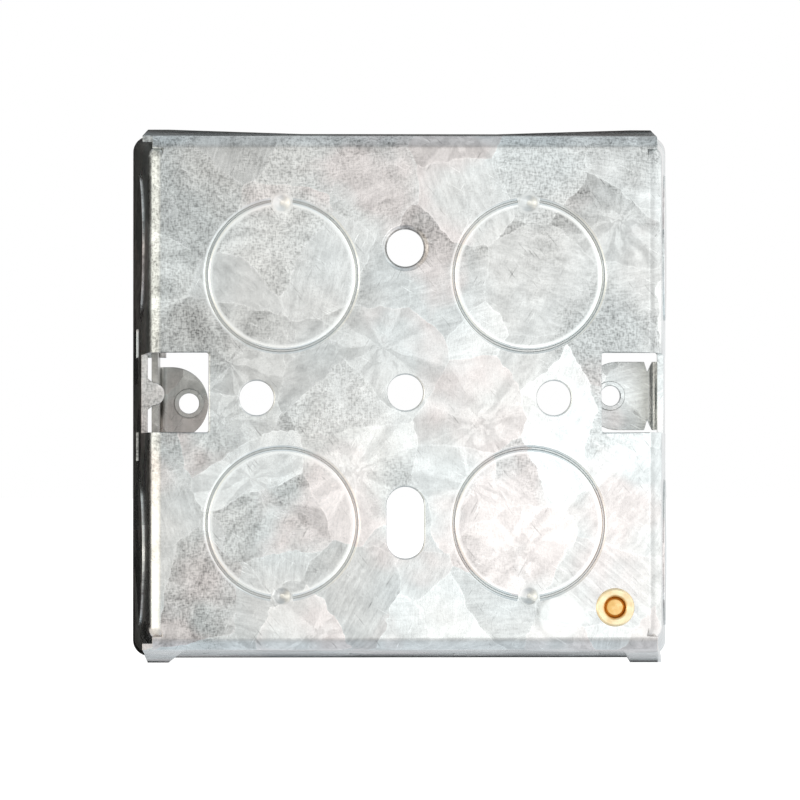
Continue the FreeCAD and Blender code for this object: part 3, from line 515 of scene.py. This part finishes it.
# %% [markdown]
# ## Edges that catch the light
# A punch pulls the sheet's edge down before it cuts, so the openings in the back have a soft
# shoulder, and the other edges are only just dulled. Each node is copied, its loose triangles
# are merged back into flat faces, and every outward corner is bevelled: wide on the back face
# and fine elsewhere. The scored rings stay sharp, because they are hardly wider than a bevel.
# The copy stands for the node, and the solid stays in the frame for collision, hidden.

# %% Which corners get which bevel
SHARP = math.radians(32)
RING_SEARCH = 2 * MM
RING_DEPTH = 1.0 * MM
RING_CENTRES = [
    Vector((across, 0, height))
    for across in (RING_ACROSS, -RING_ACROSS) for height in (RING_ABOVE, RING_BELOW)
]


def outward_corners(shape):
    return [
        edge for edge in shape.edges
        if len(edge.link_faces) == 2 and edge.is_convex and edge.calc_face_angle() > SHARP
    ]


def near_ring(edge):
    """True for an edge of a scored ring or of the dent at its bridge."""
    middle = (edge.verts[0].co + edge.verts[1].co) / 2
    if middle.y < -RING_DEPTH:
        return False
    return any(
        abs(math.hypot(middle.x - ring.x, middle.z - ring.z) - RING_RADIUS) < RING_SEARCH
        for ring in RING_CENTRES
    )


def on_back_face(edge):
    return all(abs(corner.co.y) < 0.01 * MM for corner in edge.verts)


print("rings:", len(RING_CENTRES))

# %% Rounded copies of the solids
SAME_PLACE = 0.002 * MM
SAME_PLANE = math.radians(0.5)
SMOOTH = math.radians(24)
SHOULDER = 0.22 * MM


def bevel_edges(shape, edges, width):
    bmesh.ops.bevel(
        shape, geom=edges, offset=width, offset_type="OFFSET", segments=2, profile=0.5,
        affect="EDGES", material=-1, clamp_overlap=False, loop_slide=True,
    )


def rounded_mesh(node_name, material, width, shoulder):
    shape = bmesh.new()
    shape.from_mesh(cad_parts[node_name].data)
    bmesh.ops.remove_doubles(shape, verts=shape.verts, dist=SAME_PLACE)
    bmesh.ops.dissolve_limit(shape, angle_limit=SAME_PLANE, verts=shape.verts, edges=shape.edges)
    if shoulder:
        pressed = [e for e in outward_corners(shape) if on_back_face(e) and not near_ring(e)]
        bevel_edges(shape, pressed, shoulder)
        print("edges with a pressed shoulder:", len(pressed))
    fine = [e for e in outward_corners(shape) if not (shoulder and near_ring(e))]
    bevel_edges(shape, fine, width)
    mesh = bpy.data.meshes.new(f"{node_name}_finished")
    shape.to_mesh(mesh)
    shape.free()
    mesh.materials.clear()
    mesh.materials.append(material)
    for face in mesh.polygons:
        face.material_index = 0
    mesh.shade_smooth()
    mesh.set_sharp_from_angle(angle=SMOOTH)
    return mesh


def rounded_copy(node_name, body, material, width, shoulder=None):
    mesh = rounded_mesh(node_name, material, width, shoulder)
    piece = bpy.data.objects.new(f"{node_name}_finished", mesh)
    bpy.context.scene.collection.objects.link(piece)
    evened = piece.modifiers.new("large_faces_stay_flat", "WEIGHTED_NORMAL")
    evened.keep_sharp = True
    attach(piece, body)
    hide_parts(node_name)
    print(piece.name, "faces:", len(mesh.polygons))


rounded_copy("box_body", "box", zinc_on_box, 0.06 * MM, SHOULDER)
rounded_copy("adjustable_lug", "lug", zinc_on_lug, 0.08 * MM)
for node_name in ("earth_terminal_post", "earth_clamp_washer", "earth_screw"):
    rounded_copy(node_name, "box", brass, 0.05 * MM)

# %% [markdown]
# ## Floor and light
# The photograph is cut out on white, so the floor is a plain white sheet that glows a little,
# and only a faint shadow is left on it. Metal shows its surroundings more than its own colour,
# and a cream or near-black wall here is only a reflection. The floor would whiten the underside,
# so reflections pass it by.

# %% Floor
FLOOR_GAP = 0.02 * MM
FLOOR_HALF_WIDTH = 4.0
FLOOR_PAINT = grey(0.6)
FLOOR_GLOW = 0.78


def matt(shader, colour):
    shader.inputs["Base Color"].default_value = colour
    shader.inputs["Roughness"].default_value = 1.0
    shader.inputs["Specular IOR Level"].default_value = 0.0


floor_mesh = bpy.data.meshes.new("floor")
floor_shape = bmesh.new()
bmesh.ops.create_grid(floor_shape, x_segments=1, y_segments=1, size=FLOOR_HALF_WIDTH)
bmesh.ops.translate(floor_shape, verts=floor_shape.verts, vec=(0, 0, lowest.z - FLOOR_GAP))
floor_shape.to_mesh(floor_mesh)
floor_shape.free()
floor = bpy.data.objects.new("floor", floor_mesh)
bpy.context.scene.collection.objects.link(floor)
floor_paint, _, floor_shader, _ = new_finish("white_floor")
matt(floor_shader, FLOOR_PAINT)
floor_shader.inputs["Emission Color"].default_value = grey(1.0)
floor_shader.inputs["Emission Strength"].default_value = FLOOR_GLOW
floor_mesh.materials.append(floor_paint)
floor.visible_glossy = False
print("floor at z =", round((lowest.z - FLOOR_GAP) / MM, 2), "mm")

# %% [markdown]
# The surroundings are drawn in the world, each as a soft glow round one direction: cream on the
# left of the picture, white on the right and beside the camera, pale behind the box, and a cooler
# grey above and below. At the left there are also two flat strips at the height of the box, a
# bright cream one for the bend and a black one further back for the wall. Being flat, they hardly
# show from any other side. The camera itself sees plain white.

# %% Surroundings


def glow(tree, direction, towards, low, high):
    """How far a direction points towards another, eased from 0 at low to 1 at high."""
    aim = tuple(Vector(towards).normalized())
    return remap(tree, vectors(tree, "DOT_PRODUCT", direction, aim), low, high, smooth=True)


GLOWS = (
    # towards, where the glow starts and where it is full, colour
    ((-0.5, -0.85, 0), 0.60, 0.95, grey(0.95)),
    ((0, 0, 1), 0.05, 0.85, (0.76, 0.80, 0.83, 1)),
    ((0, -0.25, -1), -0.05, 0.80, (0.78, 0.82, 0.86, 1)),
    ((-1, 0, 0), 0.25, 0.85, grey(1.40)),
    ((1, 0.25, 0), 0.30, 0.80, (0.98, 0.93, 0.85, 1)),
    ((-0.48, 0.90, -0.10), 0.75, 0.97, grey(1.12)),
)
STRIPS = (
    ((1, 0.5, 0), 0.45, 0.85, (1.95, 1.85, 1.68, 1)),
    ((0.72, -0.69, 0), 0.656, 0.857, grey(0.008)),
)
STRIP_EDGE = (0.09, 0.24)
BETWEEN_GLOWS = grey(0.50)

world = bpy.data.worlds.new("studio")
world.use_nodes = True
bpy.context.scene.world = world
sky = world.node_tree
background = sky.nodes["Background"]
direction = put(sky, "ShaderNodeTexCoord").outputs["Generated"]
light = BETWEEN_GLOWS
for towards, start, full, colour in GLOWS:
    light = blend_colours(sky, glow(sky, direction, towards, start, full), light, colour)
slope = maths(sky, "ABSOLUTE", put(sky, "ShaderNodeSeparateXYZ", {"Vector": direction}).outputs["Z"])
level = remap(sky, slope, *STRIP_EDGE, 1.0, 0.0, smooth=True)
for towards, start, full, colour in STRIPS:
    share = times(sky, level, glow(sky, direction, towards, start, full))
    light = blend_colours(sky, share, light, colour)
seen = put(sky, "ShaderNodeLightPath").outputs["Is Camera Ray"]
light = blend_colours(sky, seen, light, grey(1.0))
sky.links.new(light, background.inputs["Color"])
background.inputs["Strength"].default_value = 1.0
bpy.context.scene.view_settings.view_transform = "Standard"
print("world:", world.name, "glows:", len(GLOWS), "strips:", len(STRIPS))

# %% [markdown]
# The real box lay on something black before it was cut out, which is why its far edges are dark.
# Three strips of black card stand beside the rim, hidden from the camera: wide ones at the left
# and the top of the picture and a narrow one below. Only the walls see them, at their flat angle.

# %% Black card beside the rim
CARD_DEPTH = lowest.y - 1.5 * MM
RIM = highest.x - 1.0 * MM
CARD_STRIPS = (
    # left, right, bottom and top edge; the first lies at the left of the picture
    (RIM, highest.x + 30 * MM, -50 * MM, 50 * MM),
    (-RIM, RIM, RIM, highest.z + 15 * MM),
    (-RIM, RIM, lowest.z - 1.5 * MM, -RIM),
)

card_mesh = bpy.data.meshes.new("black_card")
card_shape = bmesh.new()
for left, right, bottom, top in CARD_STRIPS:
    corners = ((left, bottom), (right, bottom), (right, top), (left, top))
    card_shape.faces.new([card_shape.verts.new((x, CARD_DEPTH, z)) for x, z in corners])
card_shape.to_mesh(card_mesh)
card_shape.free()
card = bpy.data.objects.new("black_card", card_mesh)
bpy.context.scene.collection.objects.link(card)
card_paint, _, card_shader, _ = new_finish("black_paper")
matt(card_shader, grey(0.005))
card_mesh.materials.append(card_paint)
card.visible_camera = False
card.visible_shadow = False
print("strips of card:", len(card_mesh.polygons))

# %% [markdown]
# One weak softbox stands just to the right of the camera and a little low. It brightens the
# right half of the sheet and shines through the right cut-out on to the fixed lug, but the sheet
# shades the sliding lug on the left from it.

# %% Softbox
SOFTBOX_PLACE = Vector((-0.14, 0.70, -0.03))
SOFTBOX_WIDTH = 0.24
SOFTBOX_WATTS = 0.13

lamp_data = bpy.data.lights.new("key_softbox", "AREA")
lamp_data.size = SOFTBOX_WIDTH
lamp_data.energy = SOFTBOX_WATTS
lamp = bpy.data.objects.new("key_softbox", lamp_data)
lamp.location = SOFTBOX_PLACE
lamp.rotation_euler = SOFTBOX_PLACE.to_track_quat("Z", "Y").to_euler()
bpy.context.scene.collection.objects.link(lamp)
print(lamp.name, SOFTBOX_WATTS, "W")
